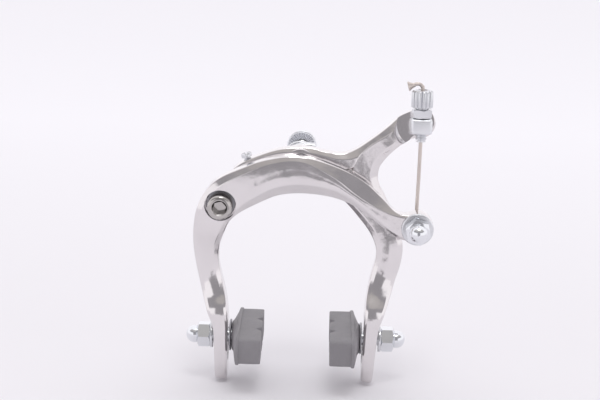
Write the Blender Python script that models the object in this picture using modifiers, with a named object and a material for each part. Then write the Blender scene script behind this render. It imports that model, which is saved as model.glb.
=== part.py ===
"""Dual-pivot rim brake caliper, long reach.

Lengths are written in millimetres and turned into metres by MM.
X runs to the cable side, Y runs back toward the bicycle frame, Z is up.
The origin is on the centre bolt, on the plane where the caliper meets the frame.
"""
import math
import bpy
import bmesh
from mathutils import Matrix, Vector

MM = 0.001

# ---- driving dimensions -------------------------------------------------
SIDE_PIVOT = (-34.2, -17.0)      # axis of the side pivot, X and Z
ANCHOR = (51.6, -24.8)           # axis of the cable anchor, X and Z
TRUNNION = (52.0, 19.0)          # axis of the adjuster block, X and Z
WIRE_Y = -15.4                   # plane of the wire and the adjuster
STUD_Z = -77.5                   # height of both shoe studs
STUD_Y = -18.0                   # middle plane of both leg tabs
SLOT_UP = 0.2                    # from the stud to the slot's upper centre
SLOT_DOWN = 8.5                  # from the stud to the slot's lower centre
SCREW_REST = (-19.4, -10.3)      # axis of the pin under the centring screw, X and Z
C_FRONT = -25.0                  # front face of the front arm
C_REAR = -15.6                   # rear face of the front arm over the hub
EYE_REAR = -17.2                 # rear face of the front arm at the anchor
Y_FRONT = -15.3                  # front face of the rear arm
Y_REAR = -7.8                    # rear face of the rear arm
BRIDGE_Y = (-7.5, -3.0)          # front and rear of the pivot bridge
BOLT_R = 3.0                     # M6 shank
GAP = 0.3                        # air between neighbouring solids
PAD_FACE_X = 15.0                # braking faces at rest
PAD_LENGTH = 46.0
PAD_HEIGHT = 11.4
TURN_STEPS = 24

# ---- scene --------------------------------------------------------------
for old in list(bpy.data.objects):
    bpy.data.objects.remove(old, do_unlink=True)

PARTS = bpy.data.collections.new("rim_brake_caliper")
CUTTERS = bpy.data.collections.new("cutters")
bpy.context.scene.collection.children.link(PARTS)
bpy.context.scene.collection.children.link(CUTTERS)

FINISHES = {
    "polished_aluminium": ((0.80, 0.79, 0.80), 1.0, 0.18),
    "zinc_plate": ((0.66, 0.68, 0.70), 1.0, 0.22),
    "chrome_plate": ((0.72, 0.74, 0.77), 1.0, 0.10),
    "dark_steel": ((0.30, 0.30, 0.32), 1.0, 0.35),
    "bronze": ((0.55, 0.40, 0.22), 1.0, 0.40),
    "wire_steel": ((0.46, 0.43, 0.38), 1.0, 0.38),
    "grey_rubber": ((0.16, 0.16, 0.165), 0.0, 0.65),
}


def finish(name):
    """One Principled material per finish."""
    mat = bpy.data.materials.get(name)
    if mat is None:
        colour, metal, rough = FINISHES[name]
        mat = bpy.data.materials.new(name)
        mat.use_nodes = True
        shader = mat.node_tree.nodes["Principled BSDF"]
        shader.inputs["Base Color"].default_value = (*colour, 1.0)
        shader.inputs["Metallic"].default_value = metal
        shader.inputs["Roughness"].default_value = rough
    return mat


def keep(name, mesh, material=None, collection=PARTS):
    """Put a mesh in the scene as a named object."""
    obj = bpy.data.objects.new(name, mesh)
    collection.objects.link(obj)
    if material:
        mesh.materials.clear()
        mesh.materials.append(finish(material))
        mesh.shade_smooth()
        mesh.set_sharp_from_angle(angle=math.radians(32))
    else:
        obj.hide_render = True
        obj.display_type = "WIRE"
    return obj


def settle(obj):
    """Bake the modifiers of an object into its mesh."""
    graph = bpy.context.evaluated_depsgraph_get()
    mesh = bpy.data.meshes.new_from_object(obj.evaluated_get(graph))
    obj.modifiers.clear()
    obj.data = mesh
    return obj


def tidy(bm):
    """Merge doubles and face outward."""
    bmesh.ops.remove_doubles(bm, verts=bm.verts, dist=0.00001)
    bmesh.ops.recalc_face_normals(bm, faces=bm.faces)


def axis_matrix(axis):
    """Turn a shape built along +Z onto another axis."""
    return Vector(axis).normalized().to_track_quat("Z", "Y").to_matrix().to_4x4()


def place(centre, axis):
    """Matrix that carries a +Z shape to a centre in millimetres and an axis."""
    return Matrix.Translation(Vector(centre) * MM) @ axis_matrix(axis)


def turned(name, profile, centre, axis=(0, 1, 0), steps=TURN_STEPS, ring=False):
    """Turned solid: profile points are (radius, height) down the outer side."""
    points = [Vector((r * MM, 0, h * MM)) for r, h in profile]
    mesh = bpy.data.meshes.new(name)
    edges = [(i, i + 1) for i in range(len(points) - 1)]
    if ring:
        edges.append((len(points) - 1, 0))
    mesh.from_pydata(points, edges, [])
    obj = keep(name, mesh, None, CUTTERS)
    screw = obj.modifiers.new("turn", "SCREW")
    screw.steps = steps
    screw.render_steps = steps
    screw.use_merge_vertices = True
    screw.merge_threshold = 0.00001
    settle(obj)
    bm = bmesh.new()
    bm.from_mesh(obj.data)
    tidy(bm)
    bm.transform(place(centre, axis))
    bm.to_mesh(obj.data)
    bm.free()
    return obj


def rod(name, r, start, end, centre, axis=(0, 1, 0), bevel=0.0, steps=TURN_STEPS):
    """Plain round bar between two heights along the axis."""
    if bevel:
        profile = [(0, end), (r - bevel, end), (r, end - bevel),
                   (r, start + bevel), (r - bevel, start), (0, start)]
    else:
        profile = [(0, end), (r, end), (r, start), (0, start)]
    return turned(name, profile, centre, axis, steps)


def washer(name, r_out, r_in, start, end, centre, axis=(0, 1, 0), bevel=0.15, steps=TURN_STEPS):
    """Flat ring with broken outer edges."""
    profile = [(r_in, end), (r_out - bevel, end), (r_out, end - bevel),
               (r_out, start + bevel), (r_out - bevel, start), (r_in, start)]
    return turned(name, profile, centre, axis, steps, ring=True)


def prism(name, flats, start, end, centre, axis=(0, 1, 0), sides=6, spin=0.0):
    """Prism with a given size across flats."""
    bm = bmesh.new()
    radius = flats / 2 / math.cos(math.pi / sides) * MM
    bmesh.ops.create_cone(bm, cap_ends=True, segments=sides, radius1=radius, radius2=radius,
                          depth=(end - start) * MM)
    bmesh.ops.rotate(bm, verts=bm.verts, cent=(0, 0, 0), matrix=Matrix.Rotation(spin, 3, "Z"))
    bmesh.ops.translate(bm, verts=bm.verts, vec=(0, 0, (start + end) / 2 * MM))
    bm.transform(place(centre, axis))
    mesh = bpy.data.meshes.new(name)
    bm.to_mesh(mesh)
    bm.free()
    return keep(name, mesh, None, CUTTERS)


def block(name, low, high, bevel=0.0, segments=1):
    """Box between two corners, with rounded edges if asked."""
    bm = bmesh.new()
    bmesh.ops.create_cube(bm, size=1.0)
    size = [(b - a) * MM for a, b in zip(low, high)]
    bmesh.ops.scale(bm, verts=bm.verts, vec=size)
    mid = [(a + b) / 2 * MM for a, b in zip(low, high)]
    bmesh.ops.translate(bm, verts=bm.verts, vec=mid)
    if bevel:
        bmesh.ops.bevel(bm, geom=bm.edges[:], offset=bevel * MM, segments=segments,
                        affect="EDGES", profile=0.5)
    mesh = bpy.data.meshes.new(name)
    bm.to_mesh(mesh)
    bm.free()
    return keep(name, mesh, None, CUTTERS)


def clean(mesh):
    """Split bent faces and drop slivers between two booleans."""
    bm = bmesh.new()
    bm.from_mesh(mesh)
    bmesh.ops.triangulate(bm, faces=[f for f in bm.faces if len(f.verts) > 3])
    bmesh.ops.dissolve_degenerate(bm, edges=bm.edges, dist=0.000004)
    bm.to_mesh(mesh)
    bm.free()


def combine(target, others, operation="DIFFERENCE"):
    """Boolean the others into the target one after another."""
    for i, other in enumerate(others):
        mod = target.modifiers.new(f"cut_{i}", "BOOLEAN")
        mod.operation = operation
        mod.solver = "EXACT"
        mod.object = other
        settle(target)
        clean(target.data)
    return target


def publish(obj, name, material, origin=(0, 0, 0)):
    """Move a finished shape into the parts, with its origin on its joint axis."""
    mesh = obj.data
    CUTTERS.objects.unlink(obj)
    bpy.data.objects.remove(obj)
    mesh.name = name
    start = Vector(origin) * MM
    mesh.transform(Matrix.Translation(-start))
    part = keep(name, mesh, material)
    part.location = start
    return part


def spline(stations, per_span):
    """Smooth run through stations, each a tuple of numbers."""
    result = []
    last = len(stations) - 1
    for i in range(last):
        a = stations[max(i - 1, 0)]
        b = stations[i]
        c = stations[i + 1]
        d = stations[min(i + 2, last)]
        for k in range(per_span):
            t = k / per_span
            result.append(tuple(
                0.5 * (2 * q + (r - p) * t + (2 * p - 5 * q + 4 * r - s) * t * t
                       + (3 * q - p - 3 * r + s) * t ** 3)
                for p, q, r, s in zip(a, b, c, d)))
    result.append(stations[-1])
    return result


def section(width, front, rear, corner, arc=3):
    """Rounded rectangle: across the arm and along Y, from four corner arcs."""
    half = width / 2
    corner = min(corner, half * 0.9, (rear - front) * 0.45)
    points = []
    centres = [(half - corner, rear - corner, 0), (-half + corner, rear - corner, 90),
               (-half + corner, front + corner, 180), (half - corner, front + corner, 270)]
    for cx, cy, begin in centres:
        for k in range(arc + 1):
            angle = math.radians(begin + 90 * k / arc)
            points.append((cx + corner * math.cos(angle), cy + corner * math.sin(angle)))
    return points


def arm_loft(name, stations, per_span=2, arc=2):
    """Loft between unlike sections: stations are (x, z, width, front, rear, corner)."""
    run = spline(stations, per_span)
    bm = bmesh.new()
    rings = []
    for i, (x, z, width, front, rear, corner) in enumerate(run):
        before = run[max(i - 1, 0)]
        after = run[min(i + 1, len(run) - 1)]
        along = Vector((after[0] - before[0], after[1] - before[1])).normalized()
        across = (-along.y, along.x)
        rings.append([
            bm.verts.new(((x + across[0] * u) * MM, v * MM, (z + across[1] * u) * MM))
            for u, v in section(width, front, rear, corner, arc)])
    for low, high in zip(rings, rings[1:]):
        count = len(low)
        for k in range(count):
            bm.faces.new((low[k], low[(k + 1) % count], high[(k + 1) % count], high[k]))
    bm.faces.new(rings[0][::-1])
    bm.faces.new(rings[-1])
    bmesh.ops.triangulate(bm, faces=bm.faces)
    bmesh.ops.recalc_face_normals(bm, faces=bm.faces)
    mesh = bpy.data.meshes.new(name)
    bm.to_mesh(mesh)
    bm.free()
    return keep(name, mesh, None, CUTTERS)


def wire(name, points, r, resolution=2):
    """Round wire along a route, as a filled tube."""
    curve = bpy.data.curves.new(name, "CURVE")
    curve.dimensions = "3D"
    curve.bevel_depth = r * MM
    curve.bevel_resolution = resolution
    curve.use_fill_caps = True
    line = curve.splines.new("POLY")
    line.points.add(len(points) - 1)
    for point, place_at in zip(line.points, points):
        point.co = (*(c * MM for c in place_at), 1.0)
    obj = bpy.data.objects.new(name, curve)
    CUTTERS.objects.link(obj)
    graph = bpy.context.evaluated_depsgraph_get()
    mesh = bpy.data.meshes.new_from_object(obj.evaluated_get(graph))
    bpy.data.objects.remove(obj)
    bm = bmesh.new()
    bm.from_mesh(mesh)
    tidy(bm)
    bm.to_mesh(mesh)
    bm.free()
    return keep(name, mesh, None, CUTTERS)


def at(point, y=0.0):
    """Axis point on the X-Z plane, carried to a depth."""
    return (point[0], y, point[1])


# ---- front arm ----------------------------------------------------------
left_leg = [
    (-39.1, -28.0, 13.8, -23.0, -9.5, 3.4),
    (-40.3, -36.0, 11.6, -20.2, -9.7, 3.0),
    (-39.9, -44.0, 10.1, -18.8, -9.8, 2.8),
    (-38.4, -52.0, 9.9, -18.8, -9.9, 2.8),
    (-36.7, -58.5, 9.8, -21.0, -10.3, 2.6),
    (-35.1, -64.5, 8.9, -24.4, -10.8, 2.0),
    (-33.6, -71.0, 6.8, -25.0, -11.0, 1.3),
    (-33.2, -80.0, 6.0, -25.0, -11.0, 1.2),
    (-33.0, -93.0, 5.6, -24.6, -11.4, 1.2),
    (-32.9, -97.0, 5.2, -22.6, -13.4, 1.2),
]
front_arch = [
    (50.0, -24.8, 12.2, C_FRONT, EYE_REAR, 1.6),
    (45.0, -24.1, 10.8, C_FRONT, EYE_REAR, 1.8),
    (39.3, -21.3, 8.8, C_FRONT, EYE_REAR, 2.0),
    (32.5, -15.5, 9.6, C_FRONT, -16.4, 2.4),
    (24.5, -9.7, 11.2, C_FRONT, C_REAR, 3.0),
    (14.0, -5.4, 13.4, C_FRONT, C_REAR, 3.6),
    (0.0, -2.8, 16.4, C_FRONT, C_REAR, 4.0),
    (-11.5, -4.1, 16.6, C_FRONT, C_REAR, 4.0),
    (-21.3, -8.0, 17.0, C_FRONT, C_REAR, 4.0),
    (-31.0, -13.2, 17.4, C_FRONT, -14.5, 3.6),
    (-36.6, -20.0, 15.6, C_FRONT, -11.5, 3.4),
]
front_arm = arm_loft("front_arm_body", front_arch + left_leg)
anchor_eye = rod("anchor_eye", 7.0, C_FRONT - 0.1, EYE_REAR - 0.1, at(ANCHOR), bevel=0.8)
side_boss = rod("side_boss", 7.6, -20.0, Y_REAR, at(SIDE_PIVOT), bevel=0.5)
combine(front_arm, [anchor_eye, side_boss], "UNION")
side_recess = rod("side_recess", 6.9, -27.0, -18.6, at(SIDE_PIVOT))
side_bore = rod("side_bore", 4.6, -28.0, 0.0, at(SIDE_PIVOT))
anchor_bore = rod("anchor_bore", BOLT_R + GAP, -28.0, -10.0, at(ANCHOR))


def stud_slot(name, x):
    """Tall slot that lets a shoe slide up and down a leg."""
    r = 3.3
    outline = []
    for middle, begin in ((STUD_Z + SLOT_UP, 0), (STUD_Z - SLOT_DOWN, 180)):
        for k in range(13):
            angle = math.radians(begin + 15 * k)
            outline.append((STUD_Y + r * math.cos(angle), middle + r * math.sin(angle)))
    bm = bmesh.new()
    ends = [[bm.verts.new((end * MM, y * MM, z * MM)) for y, z in outline]
            for end in (x - 8, x + 8)]
    for k in range(len(outline)):
        j = (k + 1) % len(outline)
        bm.faces.new((ends[0][k], ends[0][j], ends[1][j], ends[1][k]))
    bm.faces.new(ends[0])
    bm.faces.new(ends[1])
    bmesh.ops.recalc_face_normals(bm, faces=bm.faces)
    mesh = bpy.data.meshes.new(name)
    bm.to_mesh(mesh)
    bm.free()
    return keep(name, mesh, None, CUTTERS)


left_slot = stud_slot("left_slot", -33.3)
rest_hole = rod("rest_hole", 2.3, -19.0, -10.0, at(SCREW_REST))
combine(front_arm, [side_recess, side_bore, anchor_bore, left_slot, rest_hole])
publish(front_arm, "front_arm", "polished_aluminium", at(SIDE_PIVOT))
publish(rod("rest_body", 2.0, -18.7, -9.8, at(SCREW_REST), bevel=0.3),
        "screw_rest", "zinc_plate", at(SIDE_PIVOT))

# ---- rear arm -----------------------------------------------------------
right_leg = [
    (2.0, -0.5, 15.5, Y_FRONT, Y_REAR, 2.2),
    (13.0, -3.4, 14.4, Y_FRONT, Y_REAR, 2.4),
    (23.5, -9.8, 14.0, Y_FRONT, Y_REAR, 2.4),
    (31.0, -18.0, 13.6, Y_FRONT, Y_REAR, 2.4),
    (37.2, -27.0, 12.6, -15.5, Y_REAR, 2.4),
    (40.1, -35.0, 12.0, -16.3, -8.0, 2.6),
    (40.0, -42.0, 11.2, -16.5, -8.8, 2.6),
    (37.9, -50.0, 11.0, -16.8, -9.8, 2.6),
    (36.2, -57.0, 10.4, -19.6, -10.3, 2.4),
    (34.6, -64.0, 8.8, -24.0, -10.8, 2.0),
    (33.3, -71.0, 6.7, -25.0, -11.0, 1.3),
    (32.6, -82.0, 5.8, -25.0, -11.0, 1.2),
    (32.0, -93.0, 5.6, -24.6, -11.4, 1.2),
    (31.8, -96.8, 5.2, -22.6, -13.4, 1.2),
]
upper_branch = [
    (10.0, -1.0, 11.2, Y_FRONT, Y_REAR, 2.2),
    (19.5, -1.6, 12.4, Y_FRONT, Y_REAR, 2.6),
    (27.5, 2.4, 10.6, -15.2, -7.4, 2.8),
    (33.0, 7.2, 9.6, -15.0, -6.9, 2.8),
    (37.4, 10.9, 9.2, -14.6, -6.4, 2.6),
    (42.0, 14.4, 10.2, -14.0, -6.0, 2.0),
    (46.0, 17.3, 11.2, -12.4, -5.8, 1.6),
    (52.0, 19.3, 12.4, -10.6, -5.6, 1.2),
]
web_arm = [
    (45.4, 15.6, 7.0, -12.8, -6.2, 1.6),
    (41.5, 13.3, 8.0, -14.2, -6.4, 2.4),
    (37.2, 10.4, 8.4, -14.8, -6.8, 2.8),
    (33.6, 7.0, 8.8, -15.1, -7.2, 2.8),
    (31.3, 2.9, 8.8, -15.2, -7.6, 2.8),
    (30.0, -1.4, 8.8, -15.2, -7.7, 2.8),
    (29.9, -5.6, 8.8, -15.2, -7.7, 2.8),
    (31.2, -10.4, 8.8, -15.2, -7.7, 2.8),
    (33.6, -14.6, 8.8, -15.2, -7.7, 2.6),
    (35.8, -19.4, 8.8, -15.2, -7.7, 2.4),
]
tail = [
    (4.0, 2.0, 10.0, Y_FRONT, Y_REAR, 1.4),
    (-8.0, 3.4, 7.6, Y_FRONT, Y_REAR, 1.4),
    (-17.0, 0.6, 6.6, Y_FRONT, Y_REAR, 1.2),
    (-24.0, -2.0, 5.8, Y_FRONT, Y_REAR, 1.2),
    (-28.0, -4.2, 4.2, -14.6, -8.4, 1.0),
]
rear_arm = arm_loft("rear_arm_body", right_leg)
branch = arm_loft("upper_branch", upper_branch)
web = arm_loft("web", web_arm)
tail_arm = arm_loft("tail_arm", tail)
hub = rod("hub", 8.0, Y_FRONT, Y_REAR, (0, 0, 0), bevel=0.6)
eye = rod("eye", 6.5, -10.6, -5.6, at(TRUNNION), bevel=0.6)
combine(rear_arm, [branch, web, tail_arm, hub, eye], "UNION")
hub_bore = rod("hub_bore", 4.3, -20.0, 0.0, (0, 0, 0))
head_recess = rod("head_recess", 5.35, -18.0, -12.0, (0, 0, 0))
spring_pocket = rod("spring_pocket", 6.9, -11.0, -5.0, (0, 0, 0))
eye_bore = rod("eye_bore", 3.3, -20.0, 0.0, at(TRUNNION))
eye_step = rod("eye_step", 10.4, -25.0, -10.75, at(TRUNNION), steps=36)
eye_dish = rod("eye_dish", 7.0, -25.0, -10.85, (47.5, 0, 15.9), steps=30)
right_slot = stud_slot("right_slot", 33.0)
SCREW_AXIS = Vector((-0.30, 0.0, 0.954)).normalized()
SCREW_TOP = Vector((-23.2, -12.2, 1.7))
screw_hole = rod("screw_hole", 1.75, -14, 4, SCREW_TOP, SCREW_AXIS, steps=16)
combine(rear_arm, [hub_bore, head_recess, spring_pocket, eye_step, eye_dish, eye_bore,
                   right_slot, screw_hole])
publish(rear_arm, "rear_arm", "polished_aluminium")

# ---- pivot bridge and the two pivots ------------------------------------
bridge = arm_loft("bridge_body", [
    (8.0, 1.5, 13.0, *BRIDGE_Y, 1.0),
    (0.0, -1.0, 17.0, *BRIDGE_Y, 1.0),
    (-17.0, -8.8, 13.0, *BRIDGE_Y, 1.0),
    (-34.2, -17.0, 15.0, *BRIDGE_Y, 1.0),
    (-40.0, -19.9, 9.0, *BRIDGE_Y, 1.0),
])
combine(bridge, [rod("bridge_centre", BOLT_R + GAP, -10, 0, (0, 0, 0)),
                 rod("bridge_side", BOLT_R + GAP, -10, 0, at(SIDE_PIVOT)),
                 rod("bridge_spring", 1.2, -10, 0, (-5.6, 0, -1.0), steps=12)])
publish(bridge, "pivot_bridge", "zinc_plate")

centre_bolt = turned("centre_bolt_body", [
    (0, 40.0), (2.4, 40.0), (3.0, 39.4), (3.0, -12.3), (4.7, -12.3), (5.0, -12.6),
    (5.0, -14.6), (4.6, -15.0), (0, -15.0)], (0, 0, 0))
combine(centre_bolt, [prism("centre_socket", 5.0, -16.0, -13.0, (0, 0, 0), spin=0.5)])
publish(centre_bolt, "centre_bolt", "zinc_plate")
publish(washer("centre_bushing_body", 4.0, BOLT_R + 0.25, -11.9, -7.8, (0, 0, 0)),
        "centre_bushing", "bronze")

side_bolt = turned("side_bolt_body", [
    (0, -3.4), (2.6, -3.4), (3.0, -3.8), (3.0, -19.9), (5.2, -19.9), (5.4, -20.2),
    (5.4, -28.4), (5.0, -29.1), (4.3, -29.5), (0, -29.5)], at(SIDE_PIVOT))
combine(side_bolt, [prism("side_socket", 5.4, -31.0, -25.0, at(SIDE_PIVOT), spin=0.3)])
publish(side_bolt, "side_pivot_bolt", "chrome_plate")
publish(washer("side_washer_body", 6.4, BOLT_R + 0.25, -19.6, -18.3 - GAP, at(SIDE_PIVOT)),
        "side_pivot_washer", "dark_steel")
publish(washer("side_bushing_body", 4.3, BOLT_R + 0.25, -18.2, -7.8, at(SIDE_PIVOT)),
        "side_pivot_bushing", "bronze")

# return spring: a coil in the pocket behind the hub, one end in the bridge
coil = []
TURNS = 1.75
for k in range(int(TURNS * 14) + 1):
    angle = 2 * math.pi * k / 14 + math.radians(190)
    coil.append((5.9 * math.cos(angle), -8.4 - 2.0 * k / (TURNS * 14),
                 5.9 * math.sin(angle)))
lead = [(-5.6, -4.4, -1.0), (-5.6, -7.4, -1.0)]
publish(wire("spring_body", lead + coil[1:], 0.45, 1), "return_spring", "dark_steel")

# ---- washers and nut on the mounting bolt -------------------------------


def serrated(name, r_out, r_in, start, end, teeth, depth, face):
    """Ring with radial teeth standing on one face."""
    bm = bmesh.new()
    rows = []
    for k in range(teeth * 2):
        angle = math.pi * k / teeth
        tooth = depth if k % 2 else 0.0
        front = start - tooth if face < 0 else start
        rear = end + tooth if face > 0 else end
        c, s = math.cos(angle), math.sin(angle)
        rows.append([bm.verts.new((r * c * MM, y * MM, r * s * MM))
                     for r, y in ((r_in, front), (r_out, front), (r_out, rear), (r_in, rear))])
    for a, b in zip(rows, rows[1:] + rows[:1]):
        for k in range(4):
            bm.faces.new((a[k], b[k], b[(k + 1) % 4], a[(k + 1) % 4]))
    bmesh.ops.recalc_face_normals(bm, faces=bm.faces)
    mesh = bpy.data.meshes.new(name)
    bm.to_mesh(mesh)
    bm.free()
    return keep(name, mesh, None, CUTTERS)


publish(serrated("seat_body", 8.0, BOLT_R + GAP, -2.7, 0.0, 24, 0.0, 1),
        "seat_washer", "zinc_plate")
publish(serrated("star_body", 6.3, BOLT_R + GAP, 28.1, 29.3, 30, 0.6, -1),
        "serrated_washer", "zinc_plate")
publish(washer("radius_body", 6.9, BOLT_R + GAP, 29.6, 32.2, (0, 0, 0), bevel=0.6),
        "rear_spacer", "zinc_plate")
nut = prism("mount_nut_body", 10.0, 32.5, 37.5, (0, 0, 0), spin=0.5)
combine(nut, [rod("mount_nut_bore", BOLT_R + GAP, 30, 40, (0, 0, 0))])
publish(nut, "mounting_nut", "zinc_plate")

# ---- centring screw -----------------------------------------------------
screw = turned("centring_body", [
    (0, 2.7), (1.9, 2.7), (2.3, 2.2), (2.3, 0.9), (1.4, 0.9), (1.4, -9.7), (0.9, -10.2),
    (0, -10.2)], SCREW_TOP, SCREW_AXIS, 20)
driver = block("driver_slot", (-3, -0.35, 1.7), (3, 0.35, 4))
driver.data.transform(place(SCREW_TOP, SCREW_AXIS))
cross = block("driver_cross", (-0.35, -3, 1.7), (0.35, 3, 4))
cross.data.transform(place(SCREW_TOP, SCREW_AXIS))

combine(screw, [driver, cross])
publish(screw, "centring_screw", "zinc_plate", SCREW_TOP)

# ---- adjuster: swivelling block, clip, barrel and lock nut --------------
BARREL = (TRUNNION[0], WIRE_Y, 0.0)
swivel = block("swivel_body", (TRUNNION[0] - 4.4, -20.0, 15.7),
               (TRUNNION[0] + 4.4, -10.9, 22.3), 0.9, 2)
swivel_pin = turned("swivel_pin", [
    (0, -3.7), (2.7, -3.7), (3.0, -4.0), (3.0, -4.6), (2.4, -4.6), (2.4, -5.3), (3.0, -5.3),
    (3.0, -12.0), (0, -12.0)], at(TRUNNION), steps=24)
combine(swivel, [swivel_pin], "UNION")
combine(swivel, [rod("swivel_bore", 2.9, 10, 30, BARREL, (0, 0, 1), steps=24)])
publish(swivel, "adjuster_block", "chrome_plate", at(TRUNNION))
publish(washer("clip_body", 4.6, 2.65, -5.2, -4.7, at(TRUNNION), bevel=0.1, steps=24),
        "adjuster_clip", "dark_steel", at(TRUNNION))


def fluted(name, r_out, depth, start, end, centre, axis, teeth):
    """Short grip with flutes around it and tapered ends."""
    bm = bmesh.new()
    rings = []
    for height, inset in ((start, 0.7), (start + 0.7, 0.0), (end - 0.8, 0.0), (end, 0.7)):
        ring = []
        for k in range(teeth * 2):
            angle = math.pi * k / teeth
            r = r_out - inset - (depth if k % 2 else 0.0)
            ring.append(bm.verts.new((r * math.cos(angle) * MM, r * math.sin(angle) * MM,
                                      height * MM)))
        rings.append(ring)
    count = teeth * 2
    for low, high in zip(rings, rings[1:]):
        for k in range(count):
            bm.faces.new((low[k], low[(k + 1) % count], high[(k + 1) % count], high[k]))
    bm.faces.new(rings[0][::-1])
    bm.faces.new(rings[-1])
    bmesh.ops.recalc_face_normals(bm, faces=bm.faces)
    bm.transform(place(centre, axis))
    mesh = bpy.data.meshes.new(name)
    bm.to_mesh(mesh)
    bm.free()
    return keep(name, mesh, None, CUTTERS)


barrel = fluted("barrel_body", 4.7, 0.45, 27.0, 34.6, BARREL, (0, 0, 1), 18)
barrel_stem = turned("barrel_stem", [
    (0, 28.0), (2.5, 28.0), (2.5, 12.5), (2.1, 12.0), (0, 12.0)], BARREL, (0, 0, 1), 24)
combine(barrel, [barrel_stem], "UNION")
combine(barrel, [rod("barrel_bore", 1.3, 10, 40, BARREL, (0, 0, 1), steps=16),
                 rod("housing_seat", 2.7, 30.0, 40, BARREL, (0, 0, 1), steps=24)])
publish(barrel, "barrel_adjuster", "zinc_plate", (TRUNNION[0], WIRE_Y, TRUNNION[1]))

lock = prism("lock_body", 8.0, 22.6, 26.2, BARREL, (0, 0, 1), spin=math.radians(8))
combine(lock, [rod("lock_bore", 2.8, 20, 30, BARREL, (0, 0, 1), steps=24)])
publish(lock, "adjuster_lock_nut", "zinc_plate", (TRUNNION[0], WIRE_Y, TRUNNION[1]))

# ---- anchor: cross-drilled bolt, washer, domed nut and wire --------------
anchor_bolt = turned("anchor_bolt_body", [
    (0, -10.6), (4.6, -10.6), (5.0, -11.0), (5.0, -16.9), (3.0, -16.9), (3.0, -33.2),
    (2.6, -33.6), (0, -33.6)], at(ANCHOR))
combine(anchor_bolt, [rod("wire_hole", 1.1, -10, 10, (ANCHOR[0], WIRE_Y, ANCHOR[1]),
                          (0, 0, 1), steps=16)])
publish(anchor_bolt, "anchor_bolt", "zinc_plate", at(ANCHOR))
publish(washer("anchor_washer_body", 6.9, BOLT_R + GAP, -26.9, -25.3, at(ANCHOR), bevel=0.3),
        "anchor_washer", "zinc_plate", at(ANCHOR))


def domed_nut(name, centre, axis, bottom, spin=0.0):
    """Hexagon with a round dome, blind bore from below; heights run along the axis."""
    hexagon = prism(name + "_hex", 10.0, bottom, bottom + 5.4, centre, axis, spin=spin)
    chamfer = turned(name + "_chamfer", [
        (0, bottom + 5.4), (4.7, bottom + 5.4), (5.9, bottom + 4.8), (5.9, bottom + 0.5),
        (5.2, bottom), (0, bottom)], centre, axis)
    combine(hexagon, [chamfer], "INTERSECT")
    dome = [(3.9, bottom + 5.0)]
    for k in range(6):
        angle = math.radians(90 * k / 5)
        dome.append((3.9 * math.cos(angle), bottom + 6.9 + 3.7 * math.sin(angle)))
    dome.reverse()
    dome[0] = (0, dome[0][1])
    dome.append((0, bottom + 5.0))
    top = turned(name + "_dome", dome, centre, axis)
    combine(hexagon, [top], "UNION")
    bore = rod(name + "_bore", BOLT_R + 0.25, bottom - 1, bottom + 6.8, centre, axis)
    return combine(hexagon, [bore])


anchor_nut = domed_nut("anchor_nut_body", at(ANCHOR, -27.2), (0, -1, 0), 0.0, 0.2)
publish(anchor_nut, "anchor_nut", "chrome_plate", at(ANCHOR))

wire_route = [
    (ANCHOR[0], WIRE_Y, -30.6), (ANCHOR[0], WIRE_Y, -18.0), (51.85, WIRE_Y, -4.0),
    (TRUNNION[0], WIRE_Y, 11.0), (TRUNNION[0], WIRE_Y, 34.0), (51.8, WIRE_Y, 35.8),
    (51.1, WIRE_Y, 36.8), (50.0, WIRE_Y, 37.2), (48.6, WIRE_Y, 37.0), (47.2, WIRE_Y, 36.5)]
inner_wire = wire("wire_body", wire_route, 0.8, 2)
splay = turned("wire_splay", [
    (0, 0.0), (1.9, 0.0), (2.1, -0.5), (1.2, -1.9), (0.75, -3.0), (0, -3.0)],
    (45.6, WIRE_Y, 36.0), (-1.0, 0.0, -0.25), 16)
combine(inner_wire, [splay], "UNION")
publish(inner_wire, "inner_wire", "wire_steel", at(ANCHOR))

# ---- brake shoes --------------------------------------------------------


def pad_loft(name, side):
    """Rubber block: round boss, sloping back, flange and block, lofted along X."""
    centre_z = STUD_Z - 0.3
    half_l = PAD_LENGTH / 2
    half_h = PAD_HEIGHT / 2
    rows = [
        (28.3, 6.6, 6.4, 2.2), (27.6, 7.6, 6.9, 2.2), (26.2, half_l - 1.2, half_h + 0.9, 3.2),
        (25.7, half_l + 1.2, half_h + 1.4, 3.6), (24.6, half_l + 1.2, half_h + 1.4, 3.6),
        (24.1, half_l + 0.3, half_h + 0.3, 4.0), (16.0, half_l, half_h, 4.6),
        (PAD_FACE_X, half_l - 0.8, half_h - 0.8, 4.6),
    ]
    bm = bmesh.new()
    rings = []
    for x, length, height, power in rows:
        ring = []
        for k in range(24):
            angle = 2 * math.pi * (k + 0.5) / 24
            c, s = math.cos(angle), math.sin(angle)
            y = math.copysign(abs(c) ** (2 / power), c) * length
            z = math.copysign(abs(s) ** (2 / power), s) * height
            ring.append(bm.verts.new((side * x * MM, (STUD_Y + y) * MM, (centre_z + z) * MM)))
        rings.append(ring)
    for low, high in zip(rings, rings[1:]):
        for k in range(24):
            bm.faces.new((low[k], low[(k + 1) % 24], high[(k + 1) % 24], high[k]))
    bm.faces.new(rings[0])
    bm.faces.new(rings[-1])
    bmesh.ops.recalc_face_normals(bm, faces=bm.faces)
    mesh = bpy.data.meshes.new(name)
    bm.to_mesh(mesh)
    bm.free()
    return keep(name, mesh, None, CUTTERS)


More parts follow.
